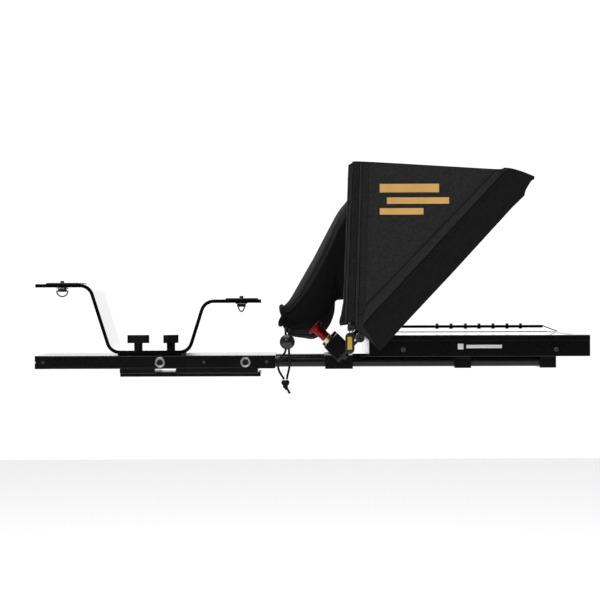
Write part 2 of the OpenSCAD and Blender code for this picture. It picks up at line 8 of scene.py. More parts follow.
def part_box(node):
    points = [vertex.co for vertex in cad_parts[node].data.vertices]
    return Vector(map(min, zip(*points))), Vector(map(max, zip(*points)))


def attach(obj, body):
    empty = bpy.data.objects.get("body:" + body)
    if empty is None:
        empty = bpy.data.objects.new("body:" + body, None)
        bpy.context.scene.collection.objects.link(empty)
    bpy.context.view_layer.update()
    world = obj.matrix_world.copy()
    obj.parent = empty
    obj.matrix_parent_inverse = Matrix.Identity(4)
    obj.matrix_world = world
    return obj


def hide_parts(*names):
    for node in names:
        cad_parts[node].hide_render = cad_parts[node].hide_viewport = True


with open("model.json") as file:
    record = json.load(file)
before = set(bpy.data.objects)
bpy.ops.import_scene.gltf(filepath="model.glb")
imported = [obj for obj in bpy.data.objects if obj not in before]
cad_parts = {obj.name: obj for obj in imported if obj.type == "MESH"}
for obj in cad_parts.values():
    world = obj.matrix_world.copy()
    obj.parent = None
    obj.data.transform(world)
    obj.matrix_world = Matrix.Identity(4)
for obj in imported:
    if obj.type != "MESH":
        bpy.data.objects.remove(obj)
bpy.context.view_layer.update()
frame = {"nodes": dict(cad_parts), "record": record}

MM = 0.001
RECORD = frame["record"]
BODY_OF = {n: b for b, nodes in RECORD["behaviour"]["bodies"].items() for n in nodes}
SLOT_OF = {s["node"]: s["material_slot"] for s in RECORD["subparts"]}


# ---------------------------------------------------------------- camera, light and floor

def new_object(name, data):
    obj = bpy.data.objects.new(name, data)
    bpy.context.scene.collection.objects.link(obj)
    return obj


def make_camera():
    """Side view from the camera operator's right, far off, with a long lens and a slight roll."""
    data = bpy.data.cameras.new("camera")
    data.lens = 129.1
    data.sensor_width = 36.0
    camera = new_object("camera", data)
    camera.location = (0.157, -3.203, 0.1119)
    camera.rotation_euler = (math.radians(90), 0.003, 0)
    bpy.context.scene.camera = camera


def area_light(name, place, aim, size, power):
    data = bpy.data.lights.new(name, "AREA")
    data.shape = "SQUARE"
    data.size = size
    data.energy = power
    light = new_object(name, data)
    light.location = place
    light.rotation_euler = (Vector(aim) - Vector(place)).to_track_quat("-Z", "Y").to_euler()


def make_world():
    """White room: pure white behind the object, and darker on the camera's side for reflections."""
    world = bpy.data.worlds.new("studio")
    bpy.context.scene.world = world
    world.use_nodes = True
    nodes, links = world.node_tree.nodes, world.node_tree.links
    nodes.clear()
    out = nodes.new("ShaderNodeOutputWorld")
    seen = nodes.new("ShaderNodeBackground")
    seen.inputs["Color"].default_value = (1, 1, 1, 1)
    seen.inputs["Strength"].default_value = 1.05
    lit = nodes.new("ShaderNodeBackground")
    place = nodes.new("ShaderNodeTexCoord")
    split = nodes.new("ShaderNodeSeparateXYZ")
    ramp = nodes.new("ShaderNodeMapRange")
    ramp.interpolation_type = "SMOOTHSTEP"
    for name, value in (("From Min", -0.45), ("From Max", 0.75),
                        ("To Min", 0.035), ("To Max", 1.9)):
        ramp.inputs[name].default_value = value
    links.new(place.outputs["Generated"], split.inputs[0])
    links.new(split.outputs["Y"], ramp.inputs["Value"])
    links.new(ramp.outputs["Result"], lit.inputs["Strength"])
    path = nodes.new("ShaderNodeLightPath")
    mix = nodes.new("ShaderNodeMixShader")
    links.new(path.outputs["Is Camera Ray"], mix.inputs["Fac"])
    links.new(lit.outputs[0], mix.inputs[1])
    links.new(seen.outputs[0], mix.inputs[2])
    links.new(mix.outputs[0], out.inputs["Surface"])


def make_floor():
    side, depth = 4.0, -0.42
    mesh = bpy.data.meshes.new("floor")
    corners = [(x * side, y * side, depth) for x, y in ((-1, -1), (1, -1), (1, 1), (-1, 1))]
    mesh.from_pydata(corners, [], [(0, 1, 2, 3)])
    paint = bpy.data.materials.new("floor_white")
    paint.use_nodes = True
    shader = paint.node_tree.nodes["Principled BSDF"]
    shader.inputs["Base Color"].default_value = (0.9, 0.9, 0.9, 1)
    shader.inputs["Roughness"].default_value = 0.9
    shader.inputs["Emission Color"].default_value = (1, 1, 1, 1)
    shader.inputs["Emission Strength"].default_value = 0.22
    mesh.materials.append(paint)
    new_object("floor", mesh)


make_camera()
make_world()
make_floor()
area_light("top_soft", (0.1, 0.1, 2.2), (0.15, 0, 0.1), 2.4, 24)
area_light("front_soft", (-0.7, -2.4, 1.9), (0.2, 0, 0.1), 0.9, 15)
bpy.context.scene.view_settings.view_transform = "Standard"


# ---------------------------------------------------------------- materials

class Paint:
    """A node material whose patterns are placed by object coordinates, which are metres."""

    def __init__(self, name, color, rough, metallic=0.0, specular=0.5, **sockets):
        self.mat = bpy.data.materials.new(name)
        self.mat.use_nodes = True
        self.tree = self.mat.node_tree
        self.shader = self.tree.nodes["Principled BSDF"]
        values = {"Base Color": (*color, 1), "Roughness": rough, "Metallic": metallic,
                  "Specular IOR Level": specular, **sockets}
        for socket, value in values.items():
            self.shader.inputs[socket].default_value = value
        self.place = self.tree.nodes.new("ShaderNodeTexCoord").outputs["Object"]
        self.normal = None

    def node(self, kind, inputs=(), **settings):
        made = self.tree.nodes.new(kind)
        for key, value in settings.items():
            setattr(made, key, value)
        for socket, value in dict(inputs).items():
            if isinstance(value, bpy.types.NodeSocket):
                self.tree.links.new(value, made.inputs[socket])
            else:
                made.inputs[socket].default_value = value
        return made

    def math(self, operation, a, b=0.0):
        return self.node("ShaderNodeMath", {0: a, 1: b}, operation=operation).outputs[0]

    def noise(self, scale, detail=2.0):
        return self.node("ShaderNodeTexNoise", {
            "Vector": self.place, "Scale": scale, "Detail": detail,
            "Roughness": 0.55}).outputs["Fac"]

    def weave(self, first, second, pitch):
        """Over-and-under threads along two of the axes X, Y and Z."""
        axes = self.node("ShaderNodeSeparateXYZ", {0: self.place}).outputs
        turn = 2 * math.pi / pitch
        warp = self.math("SINE", self.math("MULTIPLY", axes[first], turn))
        weft = self.math("SINE", self.math("MULTIPLY", axes[second], turn))
        return self.math("MULTIPLY_ADD", self.math("MULTIPLY", warp, weft), 0.5)

    def stripes(self, axis, pitch):
        axes = self.node("ShaderNodeSeparateXYZ", {0: self.place}).outputs
        return self.math("SINE", self.math("MULTIPLY", axes[axis], 2 * math.pi / pitch))

    def span(self, value, low, high, start=0.0, end=1.0):
        return self.node("ShaderNodeMapRange", {
            "Value": value, "From Min": start, "From Max": end,
            "To Min": low, "To Max": high}).outputs["Result"]

    def tint(self, factor, dark, light):
        mix = self.node("ShaderNodeMix", data_type="RGBA")
        colours = [s for s in mix.inputs if s.type == "RGBA"]
        colours[0].default_value, colours[1].default_value = (*dark, 1), (*light, 1)
        self.tree.links.new(factor, mix.inputs["Factor"])
        result = [s for s in mix.outputs if s.type == "RGBA"][0]
        self.tree.links.new(result, self.shader.inputs["Base Color"])
        return self

    def roughness(self, factor, low, high):
        self.tree.links.new(self.span(factor, low, high), self.shader.inputs["Roughness"])
        return self

    def bump(self, height, strength, distance):
        inputs = {"Height": height, "Strength": strength, "Distance": distance}
        if self.normal is not None:
            inputs["Normal"] = self.normal
        self.normal = self.node("ShaderNodeBump", inputs).outputs[0]
        self.tree.links.new(self.normal, self.shader.inputs["Normal"])
        return self


def gloss_paint(name, color, low, high):
    """Smooth black coating with faint orange peel and patchy gloss."""
    paint = Paint(name, color, low, specular=0.36)
    paint.roughness(paint.noise(35, 4), low, high)
    paint.tint(paint.noise(18, 3), [c * 0.75 for c in color], [c * 1.4 for c in color])
    return paint.bump(paint.noise(900, 2), 0.04, 0.0004)


def turned_metal(name, color, rough, axis, pitch=0.0009):
    """Metal with fine tool marks across one axis."""
    paint = Paint(name, color, rough, metallic=1.0)
    paint.roughness(paint.noise(120, 3), rough * 0.8, rough * 1.35)
    paint.tint(paint.noise(60, 3), [c * 0.82 for c in color], [min(1, c * 1.1) for c in color])
    return paint.bump(paint.stripes(axis, pitch), 0.12, 0.0003)


def moulded(name, color, rough, grain=1400):
    """Plastic or rubber with a fine moulded grain."""
    paint = Paint(name, color, rough)
    paint.roughness(paint.noise(40, 3), rough * 0.85, min(1, rough * 1.2))
    paint.tint(paint.noise(25, 2), [c * 0.8 for c in color], [c * 1.25 for c in color])
    return paint.bump(paint.noise(grain, 2), 0.25, 0.0003)


def cloth(name, color, first, second, pitch, depth=0.0005, sheen=0.15):
    """Woven nylon: visible threads, slubs, a little sheen and uneven dye."""
    paint = Paint(name, color, 0.85, specular=0.18,
                  **{"Sheen Weight": sheen, "Sheen Roughness": 0.5})
    threads = paint.weave(first, second, pitch)
    slubs = paint.noise(260, 3)
    shade = paint.math("ADD", paint.span(threads, 0.0, 0.55),
                       paint.span(slubs, 0.0, 0.45, 0.3, 0.7))
    paint.tint(shade, [c * 0.45 for c in color], [c * 1.7 for c in color])
    paint.bump(threads, 0.6, depth)
    return paint.bump(paint.noise(55, 4), 0.3, 0.0012)


def rib_cloth(name, color, axis, pitch):
    paint = Paint(name, color, 0.8, specular=0.2, **{"Sheen Weight": 0.1})
    ribs = paint.stripes(axis, pitch)
    paint.tint(paint.span(ribs, 0, 1, -1, 1), [c * 0.55 for c in color], [c * 1.35 for c in color])
    paint.bump(ribs, 0.5, 0.0005)
    return paint.bump(paint.noise(300, 2), 0.2, 0.0004)


def splitter_glass():
    """Half-silvered glass: thin, faintly green, with a mirror coat."""
    paint = Paint("splitter_glass", (0.30, 0.36, 0.35), 0.02,
                  **{"Alpha": 0.4, "IOR": 1.52, "Coat Weight": 1.0, "Coat Roughness": 0.01})
    paint.roughness(paint.noise(12, 2), 0.01, 0.03)
    return paint.bump(paint.noise(6, 1), 0.01, 0.0002)


def screen_panel():
    paint = Paint("screen_panel", (0.012, 0.013, 0.016), 0.18, **{"Coat Weight": 0.6})
    cells = paint.weave("X", "Y", 0.0011)
    paint.tint(cells, (0.009, 0.010, 0.013), (0.018, 0.019, 0.024))
    return paint.bump(paint.noise(2200, 1), 0.05, 0.0002)


def circuit_board():
    paint = Paint("board_green", (0.02, 0.10, 0.035), 0.45)
    tracks = paint.weave("X", "Y", 0.006)
    paint.tint(tracks, (0.012, 0.06, 0.02), (0.05, 0.2, 0.07))
    return paint.bump(tracks, 0.2, 0.0003)


BLACK = (0.0035, 0.0035, 0.0037)
MATERIALS = {
    "black_paint": gloss_paint("black_paint", BLACK, 0.16, 0.26),
    "riser_paint": gloss_paint("riser_paint", BLACK, 0.07, 0.12),
    "socket_bolts": turned_metal("socket_bolts", (0.66, 0.66, 0.64), 0.3, "Y", 0.0012),
    "dark_steel": turned_metal("dark_steel", (0.10, 0.10, 0.105), 0.38, "Z"),
    "rod_black": gloss_paint("rod_black", (0.006, 0.006, 0.0065), 0.2, 0.28),
    "leg_aluminium": turned_metal("leg_aluminium", (0.075, 0.075, 0.078), 0.42, "Y", 0.0015),
    "pad_rubber": moulded("pad_rubber", (0.07, 0.07, 0.07), 0.75),
    "knob_black": moulded("knob_black", (0.016, 0.016, 0.017), 0.42),
    "brass_bush": turned_metal("brass_bush", (0.80, 0.66, 0.42), 0.28, "Z"),
    "red_anodised": turned_metal("red_anodised", (0.27, 0.012, 0.02), 0.26, "Z", 0.0007),
    "splitter_glass": splitter_glass(),
    "hood_weave": cloth("hood_weave", (0.026, 0.026, 0.0265), "X", "Z", 0.0021),
    "shroud_cloth": cloth("shroud_cloth", (0.0028, 0.0028, 0.0029), "Y", "Z", 0.0016, sheen=0.015),
    "zipper_tape": rib_cloth("zipper_tape", (0.022, 0.022, 0.023), "Z", 0.0016),
    "zipper_metal": turned_metal("zipper_metal", (0.10, 0.10, 0.105), 0.24, "Z"),
    "pull_yellow": moulded("pull_yellow", (0.76, 0.52, 0.05), 0.4),
    "cord_black": rib_cloth("cord_black", (0.010, 0.010, 0.0105), "Z", 0.0022),
    "lock_plastic": moulded("lock_plastic", (0.02, 0.02, 0.021), 0.2),
    "case_plastic": gloss_paint("case_plastic", (0.004, 0.004, 0.0042), 0.14, 0.2),
    "screen_panel": screen_panel(),
    "board_green": circuit_board(),
    "button_grey": moulded("button_grey", (0.045, 0.045, 0.048), 0.38),
}
EXTRA = {
    "roof_weave": cloth("roof_weave", (0.026, 0.026, 0.027), "X", "Y", 0.0021),
    "back_weave": cloth("back_weave", (0.020, 0.020, 0.021), "Y", "Z", 0.0021),
    "band_weave": cloth("band_weave", (0.0095, 0.0095, 0.0098), "X", "Z", 0.0018, sheen=0.04),
    "piping": rib_cloth("piping", (0.012, 0.012, 0.0125), "X", 0.002),
    # Lighter cloth for the raised piping strips: painted highlight on the ridges.
    "ridge_highlight_weave": rib_cloth("ridge_highlight_weave", (0.034, 0.034, 0.035), "X", 0.002),
    # Near-black strips laid along the seams and in the gaps between piping strips: painted shade.
    "groove_shade": rib_cloth("groove_shade", (0.004, 0.004, 0.0041), "X", 0.002),
    "thread": rib_cloth("thread", (0.03, 0.03, 0.031), "X", 0.0007),
    "orange_print": moulded("orange_print", (1.0, 0.58, 0.17), 0.6),
    "silver_print": moulded("silver_print", (0.85, 0.85, 0.86), 0.5),
    # Near-black: the real colour of the clamp nuts, and painted shade in the bolt sockets.
    "black_nut_and_socket_shade": moulded("black_nut_and_socket_shade", (0.006, 0.006, 0.006), 0.3),
    "pull_rubber": moulded("pull_rubber", (0.012, 0.012, 0.012), 0.5),
    "tooth_nylon": moulded("tooth_nylon", (0.030, 0.030, 0.031), 0.35),
}


# ---------------------------------------------------------------- mesh helpers

def mesh_object(name, verts, faces):
    mesh = bpy.data.meshes.new(name)
    mesh.from_pydata([tuple(v) for v in verts], [], faces)
    mesh.update()
    return new_object(name, mesh)


def settle(obj, body, slot, material=None, angle=35, node=None):
    """Gives a piece its material (its slot's, unless another is given), smooth shading and body,
    and hides the CAD node it stands for.
    """
    obj.data.materials.clear()
    obj.data.materials.append((material or MATERIALS[slot]).mat)
    obj.data.shade_smooth()
    obj.data.set_sharp_from_angle(angle=math.radians(angle))
    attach(obj, body)
    if node:
        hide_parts(node)
    return obj


def clean(obj):
    """Welds doubled points and makes all normals point outwards."""
    bm = bmesh.new()
    bm.from_mesh(obj.data)
    bmesh.ops.remove_doubles(bm, verts=bm.verts, dist=1e-6)
    bmesh.ops.recalc_face_normals(bm, faces=bm.faces)
    bm.to_mesh(obj.data)
    bm.free()
    return obj


def machined(node, width, shortest):
    """The CAD node's own shape, with its sharp edges that are at least as long as shortest
    rounded over by width, both in mm."""
    mesh = frame["nodes"][node].data.copy()
    bm = bmesh.new()
    bm.from_mesh(mesh)
    bmesh.ops.remove_doubles(bm, verts=bm.verts, dist=2e-6)
    bmesh.ops.dissolve_limit(bm, angle_limit=math.radians(0.6), verts=bm.verts, edges=bm.edges)
    sharp = [e for e in bm.edges
             if len(e.link_faces) == 2 and e.calc_face_angle(0) > math.radians(28)
             and e.calc_length() >= shortest * MM]
    bmesh.ops.bevel(bm, geom=sharp, offset=width * MM, segments=3, profile=0.5,
                    affect="EDGES", clamp_overlap=True)
    bmesh.ops.recalc_face_normals(bm, faces=bm.faces)
    bm.to_mesh(mesh)
    bm.free()
    obj = new_object(node + "_finished", mesh)
    settle(obj, BODY_OF[node], SLOT_OF[node])
    flat = obj.modifiers.new("flat_faces", "WEIGHTED_NORMAL")
    flat.keep_sharp = True
    flat.weight = 90
    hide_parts(node)
    return obj


def grid_faces(rows, cols, closed=False):
    last = cols if closed else cols - 1
    return [(r * cols + c, r * cols + (c + 1) % cols, (r + 1) * cols + (c + 1) % cols,
             (r + 1) * cols + c) for r in range(rows - 1) for c in range(last)]


def resample(points, count):
    """Points spaced evenly along an open line."""
    points = [Vector(p) for p in points]
    lengths = [0.0]
    for a, b in zip(points, points[1:]):
        lengths.append(lengths[-1] + (b - a).length)
    result, k = [], 0
    for i in range(count):
        want = lengths[-1] * i / (count - 1)
        while k < len(points) - 2 and lengths[k + 1] < want:
            k += 1
        share = (want - lengths[k]) / max(lengths[k + 1] - lengths[k], 1e-12)
        result.append(points[k].lerp(points[k + 1], share))
    return result


def spline(a, b, c, d, t):
    """Catmull-Rom blend between b and c, at t from 0 to 1."""
    return 0.5 * (2 * b + (c - a) * t + (2 * a - 5 * b + 4 * c - d) * t * t
                  + (3 * b - a - 3 * c + d) * t ** 3)


def smooth_line(points, per_span=5):
    """Smooth curve through the points."""
    p = [Vector(points[0])] + [Vector(q) for q in points] + [Vector(points[-1])]
    line = []
    for i in range(1, len(p) - 2):
        line += [spline(*p[i - 1:i + 3], s / per_span) for s in range(per_span)]
    return line + [p[-2]]


def tube(name, points, radius, sides=10, closed=False):
    """Round tube along points; radius is a number or a function of the share along it."""
    points = [Vector(p) for p in points]
    count = len(points)
    verts, across = [], None
    for i, p in enumerate(points):
        after = points[(i + 1) % count] if closed or i < count - 1 else p
        before = points[i - 1] if closed or i > 0 else p
        way = (after - before).normalized()
        if across is None:
            across = way.orthogonal().normalized()
        across = (across - way * across.dot(way)).normalized()
        up = way.cross(across)
        r = radius(i / (count - 1)) if callable(radius) else radius
        verts += [p + r * (across * math.cos(2 * math.pi * k / sides)
                           + up * math.sin(2 * math.pi * k / sides)) for k in range(sides)]
    faces = grid_faces(count, sides, closed=True)
    if closed:
        shift = min(range(sides), key=lambda k: (verts[(count - 1) * sides + k] - verts[0]).length)
        faces += [((count - 1) * sides + (k + shift) % sides,
                   (count - 1) * sides + (k + 1 + shift) % sides, (k + 1) % sides, k)
                  for k in range(sides)]
    else:
        faces += [tuple(range(sides - 1, -1, -1)),
                  tuple((count - 1) * sides + k for k in range(sides))]
    return clean(mesh_object(name, verts, faces))


def lathe(name, profile, place, axis, sides=48, flutes=0, flute_depth=0.0, fluted=()):
    """Turned piece: profile is (radius, height) in mm along axis from place. Rings whose index
    is in fluted get that many flutes."""
    place, axis = Vector(place) * MM, Vector(axis).normalized()
    across = axis.orthogonal().normalized()
    up = axis.cross(across)
    verts = []
    for i, (radius, height) in enumerate(profile):
        for k in range(sides):
            turn = 2 * math.pi * k / sides
            r = radius - (flute_depth * (0.5 + 0.5 * math.cos(flutes * turn)) if i in fluted else 0)
            verts.append(place + axis * height * MM
                         + r * MM * (across * math.cos(turn) + up * math.sin(turn)))
    faces = grid_faces(len(profile), sides, closed=True)
    faces += [tuple(range(sides - 1, -1, -1)),
              tuple((len(profile) - 1) * sides + k for k in range(sides))]
    return clean(mesh_object(name, verts, faces))


def join(name, objects):
    """One object from several, made of separate solids."""
    bm = bmesh.new()
    for obj in objects:
        bm.from_mesh(obj.data)
        data = obj.data
        bpy.data.objects.remove(obj)
        bpy.data.meshes.remove(data)
    mesh = bpy.data.meshes.new(name)
    bm.to_mesh(mesh)
    bm.free()
    return new_object(name, mesh)


def thicken(obj, thickness):
    """Gives an open sheet its thickness, in mm, on the side away from its normals."""
    modifier = obj.modifiers.new("thickness", "SOLIDIFY")
    modifier.thickness = thickness * MM
    modifier.offset = -1
    graph = bpy.context.evaluated_depsgraph_get()
    mesh = bpy.data.meshes.new_from_object(obj.evaluated_get(graph))
    obj.modifiers.clear()
    old, obj.data = obj.data, mesh
    bpy.data.meshes.remove(old)
    return obj


def area_of(obj):
    return sum(p.area for p in obj.data.polygons)


def at(x, y, z):
    return Vector((x, y, z)) * MM


def bevelled(obj, radius, picked=lambda edge: True):
    """Rounds the edges that picked allows by radius, in mm."""
    bm = bmesh.new()
    bm.from_mesh(obj.data)
    bmesh.ops.bevel(bm, geom=[e for e in bm.edges if picked(e)], offset=radius * MM, segments=2,
                    profile=0.5, affect="EDGES", clamp_overlap=True)
    bmesh.ops.recalc_face_normals(bm, faces=bm.faces)
    bm.to_mesh(obj.data)
    bm.free()
    return obj


def rounded_bar(name, x, y, z, radius=0.4):
    """Small block with rounded edges, from its limits in mm."""
    verts = [(a * MM, b * MM, c * MM) for a in x for b in y for c in z]
    faces = [(0, 1, 3, 2), (4, 6, 7, 5), (0, 4, 5, 1), (2, 3, 7, 6), (0, 2, 6, 4), (1, 5, 7, 3)]
    return bevelled(mesh_object(name, verts, faces), radius)


def prism(name, outline, y):
    """Solid with an outline of (X, Z) points, in mm, between two places along Y."""
    n = len(outline)
    verts = [at(px, py, pz) for py in y for px, pz in outline]
    faces = [(i, (i + 1) % n, n + (i + 1) % n, n + i) for i in range(n)]
    faces += [tuple(range(n - 1, -1, -1)), tuple(range(n, 2 * n))]
    return clean(mesh_object(name, verts, faces))


# ---------------------------------------------------------------- drawcord

LOCK = (138.5, -104.0, 51.6)
REAR_ROUTE = [
    (137, -86.5, 71), (136.4, -91, 71.5), (136, -96, 70.5), (136, -100.5, 68),
    (136.2, -103.5, 64.5), (136.2, -104, 60), (136.2, -104, 54), (136.2, -104, 47),
    (136.2, -104, 41), (134.8, -104, 36), (131.4, -104, 31.5), (127.8, -104, 27),
    (125.6, -104, 21.5), (125.2, -104, 15.5), (126.8, -104, 9.5), (129.6, -104, 4.5),
    (132.2, -104, 0.5), (133.4, -104, -2.4)]
FRONT_ROUTE = [
    (142, -86.5, 69), (141.8, -91, 69.8), (141.4, -96, 69), (141, -100.5, 67),
    (140.8, -103.5, 64), (140.8, -104, 60), (140.8, -104, 54), (140.8, -104, 47),
    (140.8, -104, 41), (141.1, -104, 35), (141.6, -104, 29), (141.9, -104, 23),
    (141.6, -104, 17), (140.6, -104, 11), (139.2, -104, 5.5), (138.2, -104, 1),
    (137.8, -104, -2.4)]
CORD_WIDTH = 3.2


def drawcord_strand(name, route):
    line = smooth_line([at(*p) for p in route], 4)
    curve = bpy.data.curves.new(name, "CURVE")
    curve.dimensions = "3D"
    curve.bevel_depth = CORD_WIDTH / 2 * MM
    curve.bevel_resolution = 4
    curve.use_fill_caps = True
    spline = curve.splines.new("POLY")
    spline.points.add(len(line) - 1)
    for point, place in zip(spline.points, line):
        point.co = (*place, 1)
    strand = new_object(name, curve)
    curve.materials.append(MATERIALS["cord_black"].mat)
    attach(strand, "glass_frame")
    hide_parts(name)
    strand.name = name + "_cord"
    return strand


def drawcord_knot():
    """Overhand knot tied in both strands, with two short tails."""
    cx, cy, cz = 135.6, -104.0, -8.7
    loop = []
    for k in range(72):
        t = 2 * math.pi * k / 72
        loop.append(at(cx + 1.55 * (math.sin(t) + 2 * math.sin(2 * t)),
                       cy - 1.9 * math.sin(3 * t),
                       cz + 1.9 * (math.cos(t) - 2 * math.cos(2 * t))))
    knot = tube("knot_loop", loop, 1.75 * MM, 12, closed=True)
    long_tail = tube("knot_tail", smooth_line([at(136.6, -104, -11), at(138.2, -104, -15.5),
                                               at(140.2, -104, -19.5), at(142, -104, -22.6)]),
                     lambda s: (1.6 + 0.25 * s) * MM, 12)
    short_tail = tube("knot_tail_b", smooth_line([at(134.6, -104, -11), at(135.4, -104.6, -14.5),
                                                  at(137.2, -105, -17.5)]), 1.5 * MM, 12)
    piece = join("drawcord_knot_tied", [knot, long_tail, short_tail])
    settle(piece, "glass_frame", "cord_black", angle=60, node="drawcord_knot")
    return piece


def cord_lock():
    """Ball lock with a moulded parting ring, and its sprung button."""
    profile = []
    steps = 36
    for i in range(steps + 1):
        a = -math.pi / 2 + math.pi * i / steps
        dent = 0.35 if i in (steps // 2, steps // 2 + 1) else 0.0
        profile.append((max(0.05, (11 - dent) * math.cos(a)), 11 * math.sin(a)))
    ball = lathe("cord_lock_ball", profile, LOCK, (0.25, -1, 0.25), 56)
    settle(ball, "glass_frame", "lock_plastic", angle=50, node="cord_lock")
    x, y, z = LOCK
    cap = lathe("cord_lock_plunger",
                [(3.2, 8.4), (3.9, 9.0), (3.9, 13.0), (3.5, 13.7), (2.4, 14.0), (0.2, 14.1)],
                (x, y, z), (0, 1, 0), 32)
    settle(cap, "cord_button", "lock_plastic", node="cord_lock_button")
    return ball


knot = drawcord_knot()
cord_ball = cord_lock()
drawcord_strand("drawcord_rear", REAR_ROUTE)
drawcord_strand("drawcord_front", FRONT_ROUTE)


# ---------------------------------------------------------------- base, rods and riser

for node, width, shortest in (
        ("tripod_plate", 0.7, 12), ("saddle_block", 0.6, 12), ("deck_plate", 0.5, 30),
        ("side_rail_left", 1.6, 60), ("side_rail_right", 1.6, 60),
        ("rear_cross_bar", 0.9, 8), ("front_cross_bar", 0.9, 8),
        ("bar_screws", 0.15, 0), ("saddle_screws", 0.25, 0),
        ("rod_left", 0.5, 0), ("rod_right", 0.5, 0), ("riser_plate", 0.55, 1.6),
        ("riser_knob_rear", 1.3, 0), ("riser_knob_front", 1.3, 0),
        ("captive_washer_rear", 0.25, 0), ("captive_washer_front", 0.25, 0),
        ("screw_ring_rear", 0.08, 0), ("screw_ring_front", 0.08, 0),
        ("hood_bracket", 0.8, 8), ("receiver_blocks", 0.9, 8),
        ("frame_legs", 0.5, 0), ("pivot_bolts", 0.5, 0),
        ("frame_cross_bars", 0.6, 6), ("frame_side_bars", 0.6, 6),
        ("monitor_clamp_rear", 1.0, 12), ("monitor_clamp_front", 1.0, 12),
        ("monitor_case", 1.0, 12), ("monitor_bezel", 2.0, 12),
        ("control_strip", 0.3, 2), ("case_screws", 0.2, 0)):
    machined(node, width, shortest)


def camera_screw(end, x, platform_z):
    """Threaded stud on a knurled hub."""
    node = "camera_screw_" + end
    under = platform_z - 2.5
    pitch, tip = 1.27, 10.4
    profile = [(6.2, -6.0), (6.75, -5.6), (6.75, -2.1), (6.2, -1.6), (2.6, -1.55), (2.6, 7.3)]
    height = 7.35
    while height < tip - 0.7:
        profile += [(3.15, height), (2.75, height + pitch * 0.5)]
        height += pitch
    profile += [(3.0, tip - 0.4), (2.4, tip)]
    screw = lathe(node + "_threaded", profile, (x, 0, under), (0, 0, 1), 72,
                  flutes=24, flute_depth=0.5, fluted=(1, 2))
    settle(screw, BODY_OF[node], SLOT_OF[node], angle=25, node=node)


camera_screw("rear", -196.8, 133.5)
camera_screw("front", 69.8, 110.5)


def ribbed_pad(name, x, y, z, rib=2.4, depth=0.9):
    """Rubber mat with ribs running across the camera plate."""
    count = int((x[1] - x[0]) / rib)
    step = (x[1] - x[0]) / count
    outline = [(x[0], z[0])]
    for i in range(count):
        start = x[0] + i * step
        outline += [(start + step * 0.12, z[1] - depth), (start + step * 0.28, z[1]),
                    (start + step * 0.72, z[1]), (start + step * 0.88, z[1] - depth)]
    outline.append((x[1], z[0]))
    return prism(name, outline, y)


def rubber_pads():
    halves = []
    for x, z in (((-214, -166), (136, 138)), ((48, 94), (113, 115))):
        for y in ((-60, -4.5), (4.5, 60)):
            halves.append(ribbed_pad("pad", x, y, z))
    for y in ((-80, -5), (5, 80)):
        halves.append(rounded_bar("pad", (-107.8, -16.3), y, (32.1, 34.5), 0.3))
    pads = join("rubber_pads_ribbed", halves)
    settle(pads, "riser", "pad_rubber", angle=25, node="rubber_pads")


rubber_pads()


RAIL_Y, RAIL_Z = 92, 22.5              # outer face and middle of the side rails


def index_marks():
    """Small index pins on both rails."""
    for side, name in ((-1, "index_pin_right"), (1, "index_pin_left")):
        pin = lathe(name, [(1.9, 0), (1.9, 0.35), (1.5, 0.55), (0.2, 0.6)],
                    (17.8, side * RAIL_Y, RAIL_Z), (0, side, 0), 24)
        settle(pin, "base", "dark_steel")


index_marks()


def clamp_bolts():
    """Socket-head bolts with a knurled rim and a deep hexagonal socket, whose floor is a near-black
    hex piece: painted shade in the recess.
    """
    heads, sockets = [], []
    for side in (-1, 1):
        for x in (-45.7, 77.9):
            profile = [(3.9, -3), (3.9, 0), (7.0, 0.02), (7.5, 0.4), (7.5, 3.6), (6.9, 4.3),
                       (5.6, 4.4)]
            head = lathe("head", [*profile, (5.0, 4.1), (4.9, 1.0), (1.6, 0.9), (0.1, 1.0)],
                         (x, side * RAIL_Y, RAIL_Z), (0, side, 0), 72, flutes=36, flute_depth=0.25,
                         fluted=(3, 4))
            heads.append(head)
            # Near-black hex piece set in each head's recess: painted shade for the dark socket.
            sockets.append(lathe("socket", [(4.7, 1.05), (4.7, 2.6), (4.1, 2.8), (3.5, 2.7),
                                            (3.3, 1.5), (0.1, 1.4)],
                                 (x, side * RAIL_Y, RAIL_Z), (0, side, 0), 6))
    settle(join("rod_clamp_bolt_socket_shade", sockets), "base", "dark_steel", EXTRA["black_nut_and_socket_shade"])
    bolts = join("rod_clamp_bolts_turned", heads)
    settle(bolts, "base", "socket_bolts", angle=30, node="rod_clamp_bolts")


clamp_bolts()


# ---------------------------------------------------------------- red clamp knobs

GLASS_ANGLE = math.radians(46)
UP_SLOPE = Vector((math.cos(GLASS_ANGLE), 0, math.sin(GLASS_ANGLE)))
OFF_GLASS = Vector((-math.sin(GLASS_ANGLE), 0, math.cos(GLASS_ANGLE)))
KNOB_Y = 119


def knob_foot(side):
    """Where a red knob's axis meets the slope of the glass frame, in mm."""
    return Vector((222.9, side * KNOB_Y, 38.6)) + UP_SLOPE * -6


def red_knob(name, side):
    """Anodised knob: plain shank, waisted barrel with grip grooves, and a fluted cap."""
    profile = [(3, -6.8), (3, 34.1), (6.6, 34.1), (7, 34.6), (7, 38), (6.6, 38.4), (6.6, 39.4),
               (7, 39.8), (7, 48.5), (6.5, 49), (6.5, 50), (7, 50.6), (7.2, 53.2),
               (11.1, 53.3), (11.7, 53.9), (11.7, 57.5), (11.0, 58.2), (7.6, 58.3),
               (7.2, 57.9), (0.2, 57.9)]
    knob = lathe(name + "_turned", profile, knob_foot(side), OFF_GLASS, 96,
                 flutes=24, flute_depth=0.45, fluted=(14, 15))
    settle(knob, name, "red_anodised", angle=30, node=name)


